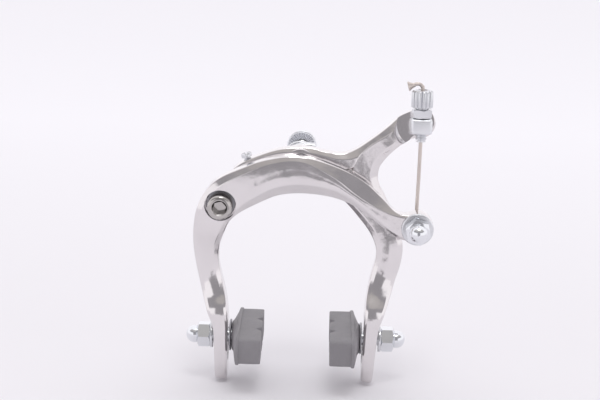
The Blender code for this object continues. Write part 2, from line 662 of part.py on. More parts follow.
def brake_shoe(word, side, tab_inner, tab_outer):
    """Pad, stud, dished washers, flat washer and domed nut of one leg."""
    stud_at = (0, STUD_Y, STUD_Z)
    axis = (side, 0, 0)
    pad = pad_loft(word + "_pad_body", side)
    cutters = [rod(word + "_pad_bore", BOLT_R + GAP, 19.7, 30, stud_at, axis)]
    for shift in (-7.2, 7.2):
        notch = prism(f"{word}_notch_{shift}", 3.6, -9, 9, (side * 14.9, STUD_Y + shift, STUD_Z),
                      (0, 0, 1), sides=4, spin=math.radians(0))
        cutters.append(notch)
    combine(pad, cutters)
    publish(pad, word + "_brake_pad", "grey_rubber", stud_at)
    stud = rod(word + "_stud_body", BOLT_R, 20.0, tab_outer + 7.6, stud_at, axis, 0.4)
    publish(stud, word + "_shoe_stud", "zinc_plate", stud_at)
    dish = tab_inner - 0.2
    publish(turned(word + "_dish_body", [
        (BOLT_R + GAP, dish), (6.9, dish), (7.1, dish - 0.2), (7.1, dish - 0.7),
        (BOLT_R + GAP, dish - 0.8)], stud_at, axis, ring=True),
        word + "_dished_washer", "dark_steel", stud_at)
    nut_from = tab_outer + 1.6
    publish(washer(word + "_washer_body", 5.9, BOLT_R + GAP, tab_outer + 0.2, nut_from - 0.2,
                   stud_at, axis),
            word + "_shoe_washer", "zinc_plate", stud_at)
    nut_body = domed_nut(word + "_nut_body", stud_at, axis, nut_from,
                         math.radians(30 if side > 0 else 34))
    publish(nut_body, word + "_shoe_nut", "chrome_plate", stud_at)


brake_shoe("left", -1, 29.7, 36.7)
brake_shoe("right", 1, 29.4, 36.4)
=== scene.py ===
"""Looks of the rim brake caliper: finer arms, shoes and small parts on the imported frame."""
import math

import bmesh
import bpy
from mathutils import Matrix, Vector


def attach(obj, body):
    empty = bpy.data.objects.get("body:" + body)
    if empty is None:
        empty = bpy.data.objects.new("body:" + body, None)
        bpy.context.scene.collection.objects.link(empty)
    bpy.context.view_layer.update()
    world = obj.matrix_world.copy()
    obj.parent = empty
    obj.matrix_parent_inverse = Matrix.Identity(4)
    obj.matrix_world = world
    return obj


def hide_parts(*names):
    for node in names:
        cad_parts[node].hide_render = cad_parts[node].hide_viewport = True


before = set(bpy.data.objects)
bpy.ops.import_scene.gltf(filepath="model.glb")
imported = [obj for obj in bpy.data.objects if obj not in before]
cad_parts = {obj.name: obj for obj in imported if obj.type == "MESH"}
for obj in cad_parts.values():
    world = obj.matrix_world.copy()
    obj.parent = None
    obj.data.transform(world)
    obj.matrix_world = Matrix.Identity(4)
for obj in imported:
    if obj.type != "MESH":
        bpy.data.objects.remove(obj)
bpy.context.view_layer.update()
MM = 0.001

# ---- places shared by several pieces, in millimetres --------------------
SIDE = (-34.2, -17.0)
ANCHOR = (51.6, -24.8)
BLOCK = (52.0, 19.0)
WIRE_Y = -15.4
STUD_Y = -18.0
STUD_Z = -77.5
SCREW_REST = (-19.4, -10.3)
SLOT_UP = 0.2
SLOT_DOWN = 8.5
FLOOR_Z = -98.5
M6_BORE = 3.3


# ---- shader maths -------------------------------------------------------
class Sock:
    """A shader socket that adds, multiplies and compares like a number."""

    def __init__(self, tree, socket):
        self.tree = tree
        self.socket = socket

    def math(self, operation, *values):
        return node(self.tree, "ShaderNodeMath", {"operation": operation}, [self, *values])

    def __add__(self, other):
        return self.math("ADD", other)

    def __mul__(self, other):
        return self.math("MULTIPLY", other)

    def __sub__(self, other):
        return self.math("SUBTRACT", other)

    def __rsub__(self, other):
        return node(self.tree, "ShaderNodeMath", {"operation": "SUBTRACT"}, [other, self])

    def __gt__(self, other):
        return self.math("GREATER_THAN", other)

    def clamp(self):
        return node(self.tree, "ShaderNodeClamp", {}, [self])

    __radd__ = __add__
    __rmul__ = __mul__


def node(tree, kind, settings, inputs, output=0):
    """Add one node: settings first, then the values or links of its sockets."""
    made = tree.nodes.new(kind)
    for key, value in settings.items():
        if key == "stops":
            ramp = made.color_ramp
            while len(ramp.elements) < len(value):
                ramp.elements.new(0.5)
            for element, (place, tone) in zip(ramp.elements, value):
                element.position = place
                element.color = (tone, tone, tone, 1.0)
        else:
            setattr(made, key, value)
    pairs = inputs.items() if isinstance(inputs, dict) else enumerate(inputs)
    for key, value in pairs:
        if isinstance(value, Sock):
            tree.links.new(value.socket, made.inputs[key])
        else:
            made.inputs[key].default_value = value
    return Sock(tree, made.outputs[output])


def noise(tree, place, scale, detail=3.0, rough=0.55):
    """Noise between 0 and 1, with its scale in features per metre."""
    return node(tree, "ShaderNodeTexNoise", {},
                {"Vector": place, "Scale": scale, "Detail": detail, "Roughness": rough})


def stretched(tree, place, x, y, z):
    """Object coordinates stretched along one way, for brushed or drawn marks."""
    return node(tree, "ShaderNodeMapping", {}, {"Vector": place, "Scale": (x, y, z)})


def ramp(tree, value, *stops):
    return node(tree, "ShaderNodeValToRGB", {"stops": stops}, [value])


def blend(tree, amount, a, b):
    """Mix two colours."""
    mix = tree.nodes.new("ShaderNodeMix")
    mix.data_type = "RGBA"
    tree.links.new(amount.socket, mix.inputs["Factor"])
    for key, value in ((6, a), (7, b)):
        if isinstance(value, Sock):
            tree.links.new(value.socket, mix.inputs[key])
        else:
            mix.inputs[key].default_value = (*value, 1.0)
    return Sock(tree, mix.outputs[2])


def start_material(name, metal, coat=0.0):
    mat = bpy.data.materials.new(name)
    mat.use_nodes = True
    tree = mat.node_tree
    shader = tree.nodes["Principled BSDF"]
    shader.inputs["Metallic"].default_value = metal
    shader.inputs["Coat Weight"].default_value = coat
    shader.inputs["Coat Roughness"].default_value = 0.08
    place = node(tree, "ShaderNodeTexCoord", {}, {}, 3)
    return mat, tree, shader, place


def finish_material(tree, shader, colour, rough, height, strength, distance):
    bump = node(tree, "ShaderNodeBump", {}, {"Height": height, "Strength": strength,
                                             "Distance": distance})
    for name, sock in (("Base Color", colour), ("Roughness", rough), ("Normal", bump)):
        tree.links.new(sock.socket, shader.inputs[name])


def metal(name, light, dark, rough, spread, wave=0.0, grain=2600.0, scratch=0.25):
    """Plated or polished metal: cloudy tone, fine scratches and slow waves in the surface."""
    mat, tree, shader, place = start_material(name, 1.0)
    cloud = noise(tree, place, 95.0)
    fine = noise(tree, place, grain, 2.0)
    marks = noise(tree, stretched(tree, place, 0.35, 1.0, 7.0), 700.0, 4.0, 0.7)
    scars = ramp(tree, marks, (0.60, 0.0), (0.72, 1.0))
    slow = noise(tree, place, 120.0, 1.0) + 0.3 * noise(tree, place, 380.0, 1.0)
    tone = (cloud * 0.7 + fine * 0.3).clamp()
    colour = blend(tree, tone, dark, light)
    roughness = (rough + spread * cloud + scars * (spread * scratch)).clamp()
    height = slow * wave + fine * 0.02 + scars * (0.05 * scratch)
    finish_material(tree, shader, colour, roughness, height, 0.35, 0.0004)
    return mat


def rubber(name, light, dark):
    """Moulded rubber: dusty tone, soft grain and a faint bloom."""
    mat, tree, shader, place = start_material(name, 0.0)
    cloud = noise(tree, place, 160.0, 4.0)
    grain = noise(tree, place, 2200.0, 3.0, 0.7)
    specks = ramp(tree, noise(tree, place, 900.0, 2.0), (0.62, 0.0), (0.75, 1.0))
    colour = blend(tree, (cloud * 0.75 + specks * 0.2).clamp(), dark, light)
    roughness = (0.50 + grain * 0.22).clamp()
    finish_material(tree, shader, colour, roughness, grain + cloud * 0.6, 0.4, 0.0002)
    return mat


POLISHED = metal("polished_aluminium", (0.835, 0.805, 0.81), (0.69, 0.665, 0.67), 0.08, 0.10, 0.9)
ZINC = metal("bright_zinc", (0.81, 0.82, 0.845), (0.60, 0.61, 0.635), 0.16, 0.14, 0.3)
SATIN = metal("satin_plate", (0.90, 0.91, 0.935), (0.76, 0.775, 0.80), 0.34, 0.12)
# The side bolt's darker base colour is painted shade of the deep recess it sits in, not wear.
BOLT = metal("bolt_painted_recess_shade", (0.62, 0.60, 0.58), (0.40, 0.38, 0.37), 0.10, 0.10, 0.3)
CHROME = metal("bright_plate", (0.86, 0.875, 0.90), (0.74, 0.755, 0.785), 0.07, 0.08, 0.3)
STEEL = metal("dull_steel", (0.52, 0.52, 0.54), (0.36, 0.36, 0.39), 0.30, 0.15)
BRONZE = metal("sintered_bronze", (0.62, 0.45, 0.26), (0.48, 0.33, 0.18), 0.40, 0.12)
STRAND = metal("wire_strands", (0.78, 0.72, 0.68), (0.52, 0.46, 0.42), 0.30, 0.15, 0.0, 3200.0)
RUBBER = rubber("grey_rubber", (0.31, 0.298, 0.315), (0.22, 0.211, 0.224))


# ---- hands: small helpers round the modelling operators ------------------
def deselect():
    if bpy.context.mode != "OBJECT":
        bpy.ops.object.mode_set(mode="OBJECT")
    bpy.ops.object.select_all(action="DESELECT")


def pick(obj):
    deselect()
    obj.select_set(True)
    bpy.context.view_layer.objects.active = obj
    return obj


def apply_all(obj):
    pick(obj)
    for mod in list(obj.modifiers):
        bpy.ops.object.modifier_apply(modifier=mod.name)
    return obj


def stand(obj, centre, axis):
    """Stand a shape made along +Z on another axis at a centre in millimetres."""
    turn = Vector(axis).normalized().to_track_quat("Z", "Y").to_matrix().to_4x4()
    obj.matrix_world = Matrix.Translation(Vector(centre) * MM) @ turn
    pick(obj)
    bpy.ops.object.transform_apply(location=True, rotation=True, scale=True)
    return obj


def turned(name, profile, centre, axis=(0, 1, 0), sides=64, ring=False):
    """Pull a circle up through (radius, height) steps, as on a lathe."""
    deselect()
    radius, height = profile[0]
    bpy.ops.mesh.primitive_circle_add(vertices=sides, radius=radius * MM,
                                      location=(0, 0, height * MM),
                                      fill_type="NOTHING" if ring else "NGON")
    obj = bpy.context.object
    obj.name = name
    bpy.ops.object.transform_apply(location=True)
    bpy.ops.object.mode_set(mode="EDIT")
    steps = list(profile[1:]) + ([profile[0]] if ring else [])
    for step_radius, step_height in steps:
        bpy.ops.mesh.extrude_edges_move(
            TRANSFORM_OT_translate={"value": (0, 0, (step_height - height) * MM)})
        grow = step_radius / radius
        bpy.ops.transform.resize(value=(grow, grow, 1), center_override=(0, 0, step_height * MM))
        radius, height = step_radius, step_height
    if not ring:
        bpy.ops.mesh.edge_face_add()
    bpy.ops.mesh.select_all(action="SELECT")
    bpy.ops.mesh.remove_doubles(threshold=0.000002)
    bpy.ops.mesh.normals_make_consistent(inside=False)
    bpy.ops.object.mode_set(mode="OBJECT")
    return stand(obj, centre, axis)


def prism(name, flats, low, high, centre, axis=(0, 1, 0), spin=0.0, sides=6):
    """Hexagon bar between two heights."""
    deselect()
    bpy.ops.mesh.primitive_cylinder_add(
        vertices=sides, radius=flats / 2 / math.cos(math.pi / sides) * MM, depth=(high - low) * MM,
        location=(0, 0, (low + high) / 2 * MM), rotation=(0, 0, spin))
    obj = bpy.context.object
    obj.name = name
    bpy.ops.object.transform_apply(location=True, rotation=True)
    return stand(obj, centre, axis)


def brick(name, low, high):
    """Box between two corners."""
    deselect()
    bpy.ops.mesh.primitive_cube_add(size=1.0)
    obj = bpy.context.object
    obj.name = name
    obj.scale = [(b - a) * MM for a, b in zip(low, high)]
    obj.location = [(a + b) / 2 * MM for a, b in zip(low, high)]
    bpy.ops.object.transform_apply(location=True, scale=True)
    return obj


def boolean(target, other, operation="DIFFERENCE"):
    """Join or cut, then throw the tool away."""
    mod = target.modifiers.new("tool", "BOOLEAN")
    mod.operation = operation
    mod.solver = "EXACT"
    mod.object = other
    apply_all(target)
    mesh = other.data
    bpy.data.objects.remove(other)
    bpy.data.meshes.remove(mesh)
    return target


def soften(obj, width, segments=2, angle=35.0):
    """Break the sharp edges."""
    mod = obj.modifiers.new("edges", "BEVEL")
    mod.width = width * MM
    mod.segments = segments
    mod.limit_method = "ANGLE"
    mod.angle_limit = math.radians(angle)
    mod.use_clamp_overlap = True
    return apply_all(obj)


def hand_in(obj, name, material, nodes, body, angle=32.0):
    """Name a finished piece, give it its finish and put it on its body."""
    obj.name = name
    obj.data.name = name
    obj.data.materials.clear()
    obj.data.materials.append(material)
    pick(obj)
    bpy.ops.object.shade_smooth_by_angle(angle=math.radians(angle))
    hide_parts(*nodes)
    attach(obj, body)
    return obj


def at(point, y=0.0):
    return (point[0], y, point[1])


# ---- camera, light and floor --------------------------------------------
def build_set():
    azimuth, elevation, roll = (math.radians(a) for a in (0.6, 13.3, 1.45))
    back = Vector((math.sin(azimuth) * math.cos(elevation),
                   -math.cos(azimuth) * math.cos(elevation), math.sin(elevation)))
    right = (-back).cross(Vector((0, 0, 1))).normalized()
    up = back.cross(right)
    across = right * math.cos(roll) + up * math.sin(roll)
    upward = up * math.cos(roll) - right * math.sin(roll)
    lens = bpy.data.cameras.new("camera")
    lens.lens = 90.0
    lens.sensor_width = 36.0
    lens.clip_start = 0.01
    eye = bpy.data.objects.new("camera", lens)
    bpy.context.scene.collection.objects.link(eye)
    turn = Matrix((across, upward, back)).transposed().to_4x4()
    eye.matrix_world = Matrix.Translation((0.00701, -0.65577, 0.13583)) @ turn
    bpy.context.scene.camera = eye

    deselect()
    bpy.ops.mesh.primitive_plane_add(size=6.0, location=(0, 2.675, FLOOR_Z * MM))
    floor = bpy.context.object
    floor.name = "floor"
    bpy.ops.object.transform_apply(location=True)
    for middle in (-0.53, 0.548):
        bpy.ops.mesh.primitive_plane_add(size=1.0, location=(middle, -0.825, FLOOR_Z * MM))
        bpy.ops.object.transform_apply(location=True)
        floor.select_set(True)
        bpy.context.view_layer.objects.active = floor
        bpy.ops.object.join()
    mat, tree, shader, place = start_material("paper", 0.0)
    grain = noise(tree, place, 40.0, 2.0)
    split = tree.nodes.new("ShaderNodeSeparateXYZ")
    tree.links.new(place.socket, split.inputs[0])
    # The floor colour runs from darker at the front to lighter far back: this is painted light
    # falloff on the floor, not a change in the paper.
    painted_falloff = ramp(tree, Sock(tree, split.outputs[1]), (0.05, 0.0), (0.6, 1.0))
    colour = blend(tree, painted_falloff, (0.84, 0.825, 0.855), (0.95, 0.94, 0.975))
    finish_material(tree, shader, colour, grain * 0.1 + 0.85, grain, 0.02, 0.0005)
    floor.data.materials.append(mat)

    world = bpy.data.worlds.new("studio")
    bpy.context.scene.world = world
    world.use_nodes = True
    tree = world.node_tree
    sky = tree.nodes["Background"]
    spot = node(tree, "ShaderNodeTexCoord", {}, {}, 0)
    split = tree.nodes.new("ShaderNodeSeparateXYZ")
    tree.links.new(spot.socket, split.inputs[0])
    across = Sock(tree, split.outputs[0])
    depth = Sock(tree, split.outputs[1])
    height = Sock(tree, split.outputs[2])

    def step(value, start, end):
        return node(tree, "ShaderNodeMapRange", {"interpolation_type": "SMOOTHSTEP"},
                    {0: value, 1: start, 2: end, 3: 0.0, 4: 1.0})

    front = step(depth, 0.05, -0.20)
    boxes = (step(across, -0.26, -0.31) + step(across, 0.26, 0.31)) * step(height, 0.47, 0.43)
    dim = (front * (1 - boxes)).clamp()
    dark = blend(tree, step(height, 0.60, 0.68), (0.36, 0.35, 0.37), (0.52, 0.50, 0.49))
    open_top = step(height, 0.84, 0.92)
    tone = blend(tree, dim, (1.12, 1.10, 1.13), dark)
    tone = blend(tree, open_top, tone, (1.15, 1.14, 1.17))
    tree.links.new(tone.socket, sky.inputs["Color"])
    sky.inputs["Strength"].default_value = 1.0

    lamps = (("top", (0.1, -0.55, 1.30), (0, 0, 0), 0.5, 3.2),)
    for name, spot_at, aim, size, power in lamps:
        light = bpy.data.lights.new(name, "AREA")
        light.shape = "SQUARE"
        light.size = size
        light.energy = power
        lamp = bpy.data.objects.new(name, light)
        bpy.context.scene.collection.objects.link(lamp)
        way = Vector(aim) - Vector(spot_at)
        lamp.matrix_world = (Matrix.Translation(spot_at)
                             @ way.to_track_quat("-Z", "Y").to_matrix().to_4x4())
    bpy.context.scene.view_settings.view_transform = "Standard"


# ---- arms ----------------------------------------------------------------
def smooth_run(stations, per_span):
    """Catmull-Rom run through the stations."""
    run = []
    last = len(stations) - 1
    for i in range(last):
        p, q, r, s = (stations[max(i - 1, 0)], stations[i], stations[i + 1],
                      stations[min(i + 2, last)])
        for k in range(per_span):
            t = k / per_span
            run.append(tuple(
                0.5 * (2 * b + (c - a) * t + (2 * a - 5 * b + 4 * c - d) * t * t
                       + (3 * b - a - 3 * c + d) * t ** 3) for a, b, c, d in zip(p, q, r, s)))
    run.append(stations[-1])
    return run


def rounded_outline(corners, arc=3, support=0.22):
    """Walk round a polygon of (u, v, radius) corners, rounding each one.

    A point just past each rounding keeps the flats between them flat. A corner of no
    radius is one point on a slow curve.
    """
    outline = []
    count = len(corners)
    for i, (u, v, radius) in enumerate(corners):
        here = Vector((u, v))
        if not radius:
            outline.append(here)
            continue
        to_last = Vector(corners[i - 1][:2]) - here
        to_next = Vector(corners[(i + 1) % count][:2]) - here
        turn = math.pi - to_last.angle(to_next)
        reach = min(radius * math.tan(turn / 2), to_last.length * 0.42, to_next.length * 0.42)
        first = here + to_last.normalized() * reach
        last = here + to_next.normalized() * reach
        extra = min(support, (min(to_last.length, to_next.length) - 2 * reach) * 0.3)
        outline.append(first + to_last.normalized() * extra)
        for k in range(arc + 1):
            t = k / arc
            outline.append(first * (1 - t) ** 2 + here * (2 * t * (1 - t)) + last * t * t)
        outline.append(last + to_next.normalized() * extra)
    return [tuple(point) for point in outline]


def forged_section(width, front, rear, top, low, crown, back):
    """Forging section: flat front, a flat bevel above, another below and a rounded back.

    Each number is a length in millimetres; u is across the arm, v is along Y.
    """
    half = width / 2
    deep = rear - front
    flat = width - top - low
    swell = [(half - top - flat * part, front - crown * bulge, 0.0)
             for part, bulge in ((0.3, 0.8), (0.5, 1.0), (0.7, 0.8))]
    return rounded_outline([
        (half - top, front, 0.9), *swell, (-half + low, front, 0.8),
        (-half, front + min(low * 0.62, deep * 0.45), 0.9), (-half, rear, back),
        (half, rear, back), (half, front + min(top * 0.6, deep * 0.5), 0.7)])


def arm_body(name, stations, side, per_span=8):
    """Pull a section along the arm; side says which way the section's upper edge faces.

    Stations are (x, z, width, front, rear, top, low, crown, back).
    """
    run = smooth_run(stations, per_span)
    count = len(forged_section(*run[0][2:]))
    deselect()
    bpy.ops.mesh.primitive_circle_add(vertices=count, radius=0.001, fill_type="NGON")
    obj = bpy.context.object
    obj.name = name
    bpy.ops.object.mode_set(mode="EDIT")
    bpy.ops.mesh.select_mode(type="EDGE")
    for i, station in enumerate(run):
        if i:
            bpy.ops.mesh.extrude_edges_move()
        bm = bmesh.from_edit_mesh(obj.data)
        bm.verts.ensure_lookup_table()
        x, z = station[:2]
        before = run[max(i - 1, 0)]
        after = run[min(i + 1, len(run) - 1)]
        along = Vector((after[0] - before[0], after[1] - before[1])).normalized()
        ring = bm.verts[-count:]
        for vert, (u, v) in zip(ring, forged_section(*station[2:])):
            vert.co = ((x + side * along.y * u) * MM, v * MM, (z - side * along.x * u) * MM)
        bmesh.update_edit_mesh(obj.data)
    bpy.ops.mesh.edge_face_add()
    bpy.ops.mesh.select_all(action="SELECT")
    bpy.ops.mesh.normals_make_consistent(inside=False)
    bpy.ops.object.mode_set(mode="OBJECT")
    return obj


def cut_slot(arm, x):
    """Tall round-ended slot for the shoe's stud."""
    middle = brick("slot_tool", (x - 8, STUD_Y - 3.3, STUD_Z - SLOT_DOWN),
                   (x + 8, STUD_Y + 3.3, STUD_Z + SLOT_UP))
    boolean(arm, middle)
    for z in (STUD_Z - SLOT_DOWN, STUD_Z + SLOT_UP):
        boolean(arm, turned("end_tool", [(M6_BORE, 8), (M6_BORE, -8)], (x, STUD_Y, z), (1, 0, 0), 48))
    return arm


def build_front_arm():
    arm = arm_body("front_arm_look", [
        (50.0, -24.8, 12.4, -25.0, -17.2, 1.3, 1.3, 0.0, 1.6),
        (45.0, -24.1, 11.0, -25.0, -17.2, 1.3, 1.4, 0.1, 1.8),
        (39.3, -21.3, 8.9, -25.0, -17.2, 1.7, 1.4, 0.1, 1.8),
        (32.5, -15.5, 9.8, -25.0, -16.4, 4.8, 1.6, 0.1, 2.0),
        (24.5, -9.7, 11.4, -25.0, -15.6, 6.2, 2.6, 0.2, 2.4),
        (14.0, -5.4, 13.6, -25.0, -15.6, 4.4, 4.0, 0.3, 2.8),
        (0.0, -2.8, 16.6, -25.0, -15.6, 2.2, 4.6, 0.4, 2.8),
        (-11.5, -4.1, 16.8, -25.0, -15.6, 2.2, 4.2, 0.5, 2.8),
        (-21.3, -8.0, 17.2, -25.0, -15.6, 2.6, 3.6, 0.4, 2.8),
        (-31.0, -13.2, 17.6, -24.6, -14.5, 2.8, 2.4, 0.2, 2.8),
        (-36.6, -20.0, 15.8, -24.0, -11.5, 2.4, 1.8, 0.2, 3.0),
        (-39.1, -28.0, 13.8, -23.0, -9.5, 2.4, 2.2, 0.2, 3.0),
        (-40.3, -36.0, 11.6, -20.2, -9.7, 2.2, 2.2, 0.3, 2.6),
        (-39.9, -44.0, 10.2, -18.8, -9.8, 2.0, 2.0, 0.4, 2.4),
        (-38.4, -51.5, 9.9, -18.8, -9.9, 1.8, 1.8, 0.5, 2.2),
        (-36.7, -58.0, 9.8, -20.8, -10.3, 1.6, 1.6, 0.5, 2.0),
        (-35.1, -64.5, 8.9, -24.3, -10.8, 1.4, 1.4, 0.3, 1.6),
        (-33.6, -71.0, 6.8, -25.0, -11.0, 1.0, 1.0, 0.1, 1.1),
        (-33.2, -80.0, 6.0, -25.0, -11.0, 0.9, 0.9, 0.1, 1.1),
        (-33.0, -92.0, 5.6, -24.7, -11.3, 0.9, 0.9, 0.1, 1.1),
        (-32.9, -96.2, 5.2, -22.8, -13.2, 1.0, 1.0, 0.1, 1.2),
        (-32.9, -97.1, 3.6, -21.8, -14.2, 0.8, 0.8, 0.0, 0.8),
    ], side=1)
    eye = turned("eye_tool", [
        (6.2, -17.1), (7.0, -17.8), (7.05, -24.0), (6.8, -24.8), (6.0, -25.2)], at(ANCHOR))
    boolean(arm, eye, "UNION")
    boss = turned("boss_tool", [(7.1, -7.8), (7.6, -8.3), (7.6, -20.0)], at(SIDE))
    boolean(arm, boss, "UNION")
    boolean(arm, turned("recess_tool", [(7.5, -26.5), (7.3, -25.3), (6.9, -24.7), (6.9, -18.6)],
                        at(SIDE)))
    boolean(arm, turned("bore_tool", [(4.6, 0), (4.6, -28)], at(SIDE)))
    boolean(arm, turned("bore_tool", [(M6_BORE, -10), (M6_BORE, -28)], at(ANCHOR)))
    boolean(arm, turned("rest_tool", [(2.3, -10), (2.3, -19)], at(SCREW_REST)))
    cut_slot(arm, -33.3)
    hand_in(arm, "front_arm_look", POLISHED, ["front_arm"], "front_arm", 28)
    pin = turned("rest_pin", [(1.6, -9.8), (1.9, -9.95), (2.0, -10.3), (2.0, -18.4), (1.7, -18.7)],
                 at(SCREW_REST))
    hand_in(pin, "screw_rest_look", ZINC, ["screw_rest"], "front_arm")


def build_rear_arm():
    arm = arm_body("rear_arm_look", [
        (4.0, -1.6, 13.6, -15.3, -7.8, 1.6, 1.6, 0.0, 1.6),
        (13.0, -4.0, 13.6, -15.3, -7.8, 1.8, 1.6, 0.0, 1.8),
        (23.5, -9.8, 14.2, -15.3, -7.8, 2.0, 1.8, 0.0, 1.8),
        (31.0, -18.0, 13.8, -15.3, -7.8, 2.2, 2.2, 0.0, 2.0),
        (37.2, -27.0, 12.8, -15.5, -7.8, 2.4, 2.4, 0.2, 2.2),
        (40.1, -35.0, 12.0, -16.3, -8.0, 2.2, 2.2, 0.3, 2.4),
        (40.0, -42.0, 11.3, -16.5, -8.8, 2.0, 2.0, 0.4, 2.4),
        (37.9, -50.0, 11.0, -16.8, -9.8, 1.8, 1.8, 0.5, 2.2),
        (36.2, -57.0, 10.4, -19.6, -10.3, 1.6, 1.6, 0.5, 1.8),
        (34.6, -64.0, 8.8, -24.0, -10.8, 1.4, 1.4, 0.3, 1.4),
        (33.3, -71.0, 6.7, -25.0, -11.0, 1.0, 1.0, 0.1, 1.1),
        (32.6, -82.0, 5.8, -25.0, -11.0, 0.9, 0.9, 0.1, 1.1),
        (32.1, -92.0, 5.4, -24.7, -11.3, 0.9, 0.9, 0.1, 1.1),
        (31.9, -96.0, 5.0, -22.8, -13.2, 1.0, 1.0, 0.1, 1.2),
        (31.8, -96.9, 3.6, -21.8, -14.2, 0.8, 0.8, 0.0, 0.8),
    ], side=-1)
    branch = arm_body("branch_tool", [
        (-28.4, -4.4, 4.0, -14.7, -8.4, 0.9, 0.9, 0.0, 0.9),
        (-24.0, -2.2, 5.8, -15.25, -7.85, 1.0, 1.0, 0.0, 1.0),
        (-17.0, 0.6, 6.6, -15.25, -7.85, 1.2, 1.0, 0.0, 1.2),
        (-8.0, 2.8, 8.2, -15.25, -7.85, 1.6, 1.2, 0.0, 1.6),
        (2.0, 2.4, 11.0, -15.25, -7.85, 2.2, 1.4, 0.0, 2.0),
        (10.0, 1.5, 9.6, -15.25, -7.85, 2.0, 1.0, 0.0, 1.6),
        (15.6, 1.3, 8.4, -15.25, -7.85, 2.4, 0.6, 0.0, 1.5),
        (21.0, 2.2, 7.4, -15.2, -7.8, 2.8, 0.6, 0.0, 1.4),
        (26.0, 4.3, 7.2, -15.1, -7.4, 3.2, 0.6, 0.0, 1.4),
        (31.0, 7.3, 7.8, -15.0, -7.0, 3.4, 0.6, 0.0, 1.5),
        (36.5, 10.8, 8.8, -14.7, -6.5, 3.5, 0.8, 0.0, 2.0),
        (42.0, 14.5, 10.2, -14.0, -6.0, 3.2, 1.6, 0.1, 1.8),
        (46.0, 17.3, 11.2, -12.4, -5.8, 2.0, 1.6, 0.0, 1.6),
        (52.0, 19.3, 12.4, -10.6, -5.6, 1.2, 1.2, 0.0, 1.2),
    ], side=-1)
    web = arm_body("web_tool", [
        (44.6, 15.0, 6.6, -13.1, -6.4, 0.3, 1.8, 0.0, 1.6),
        (41.4, 12.4, 7.2, -14.25, -6.6, 0.3, 2.4, 0.0, 2.2),
        (37.4, 9.4, 8.0, -14.9, -7.0, 0.3, 3.0, 0.0, 2.6),
        (33.4, 6.0, 9.4, -15.15, -7.3, 0.3, 3.3, 0.0, 2.8),
        (30.3, 2.4, 10.6, -15.25, -7.6, 0.3, 3.4, 0.0, 2.8),
        (28.7, -1.6, 11.4, -15.25, -7.7, 0.3, 3.4, 0.0, 2.8),
        (28.7, -5.8, 11.2, -15.25, -7.7, 0.3, 3.2, 0.0, 2.8),
        (30.6, -10.6, 10.0, -15.25, -7.7, 0.3, 2.8, 0.0, 2.6),
        (33.4, -14.8, 9.2, -15.25, -7.7, 0.3, 2.4, 0.0, 2.4),
        (35.8, -19.4, 8.8, -15.25, -7.7, 0.3, 2.2, 0.0, 2.2),
    ], side=1)
    boolean(arm, branch, "UNION")
    boolean(arm, web, "UNION")
    boolean(arm, turned("hub_tool", [(7.5, -7.75), (7.9, -8.2), (7.9, -13.0), (6.9, -15.2)],
                        (0, 0, 0)), "UNION")
    boolean(arm, turned("eye_tool", [(6.0, -5.5), (6.55, -6.2), (6.55, -9.9), (5.9, -10.65)],
                        at(BLOCK)), "UNION")
    boolean(arm, turned("bore_tool", [(4.3, 0), (4.3, -20)], (0, 0, 0)))
    boolean(arm, turned("bore_tool", [(5.35, -12), (5.35, -18)], (0, 0, 0)))
    boolean(arm, turned("bore_tool", [(6.9, -5), (6.9, -11)], (0, 0, 0)))
    tilt = (0, math.cos(0.19), -math.sin(0.19))
    boolean(arm, turned("step_tool", [(10.4, 0), (10.4, -1.8), (11.0, -2.8), (11.6, -14)],
                        at(BLOCK, -10.75), tilt, 96))
    boolean(arm, turned("dish_tool", [(5.0, 0), (6.3, -0.5), (7.0, -1.6), (7.3, -14)],
                        (47.5, -11.4, 15.9), tilt, 64))
    boolean(arm, turned("bore_tool", [(M6_BORE, 0), (M6_BORE, -20)], at(BLOCK)))
    boolean(arm, turned("screw_tool", [(1.75, 4), (1.75, -14)], SCREW_TOP, SCREW_WAY, 32))
    cut_slot(arm, 33.0)
    hand_in(arm, "rear_arm_look", POLISHED, ["rear_arm"], "rear_arm", 28)


SCREW_TOP = (-23.2, -12.2, 1.7)
SCREW_WAY = (-0.30, 0.0, 0.954)


def thread(r, depth, low, high, pitch):
    """Profile of a threaded length: shallow rings at the thread's pitch, top to bottom."""
    steps = []
    count = int((high - low) / pitch)
    for k in range(count):
        top = high - k * pitch
        steps += [(r, top - 0.12 * pitch), (r, top - 0.38 * pitch),
                  (r - depth, top - 0.72 * pitch), (r - depth, top - 0.86 * pitch)]
    return steps


def domed_nut(name, centre, axis, bottom, spin):
    """Hexagon with chamfered corners, a groove and a polished dome."""
    nut = prism(name, 10.0, bottom, bottom + 5.4, centre, axis, spin)
    boolean(nut, turned("corner_tool", [
        (4.6, bottom + 5.4), (5.95, bottom + 4.7), (5.95, bottom + 0.6), (5.1, bottom)],
        centre, axis, 96), "INTERSECT")
    dome = [(0.05, bottom + 10.6)]
    for k in range(1, 14):
        a = math.radians(90 * k / 13)
        dome.append((3.9 * math.sin(a), bottom + 6.9 + 3.7 * math.cos(a)))
    dome += [(3.9, bottom + 5.9), (3.7, bottom + 5.6), (3.7, bottom + 5.0)]
    boolean(nut, turned("dome_tool", dome, centre, axis, 64), "UNION")
    boolean(nut, turned("bore_tool", [(3.25, bottom + 6.8), (3.25, bottom - 1)], centre, axis))
    return nut


def flat_washer(name, r_out, r_in, low, high, centre, axis=(0, 1, 0), edge=0.25):
    """Pressed washer with one rolled edge."""
    profile = [(r_in, high)]
    for k in range(5):
        a = math.radians(90 * k / 4)
        profile.append((r_out - edge * (1 - math.sin(a)), high - edge * (1 - math.cos(a))))
    for k in range(5):
        a = math.radians(90 * k / 4)
        profile.append((r_out - edge * (1 - math.cos(a)), low + edge * (1 - math.sin(a))))
    profile.append((r_in, low))
    return turned(name, profile, centre, axis, 72, ring=True)


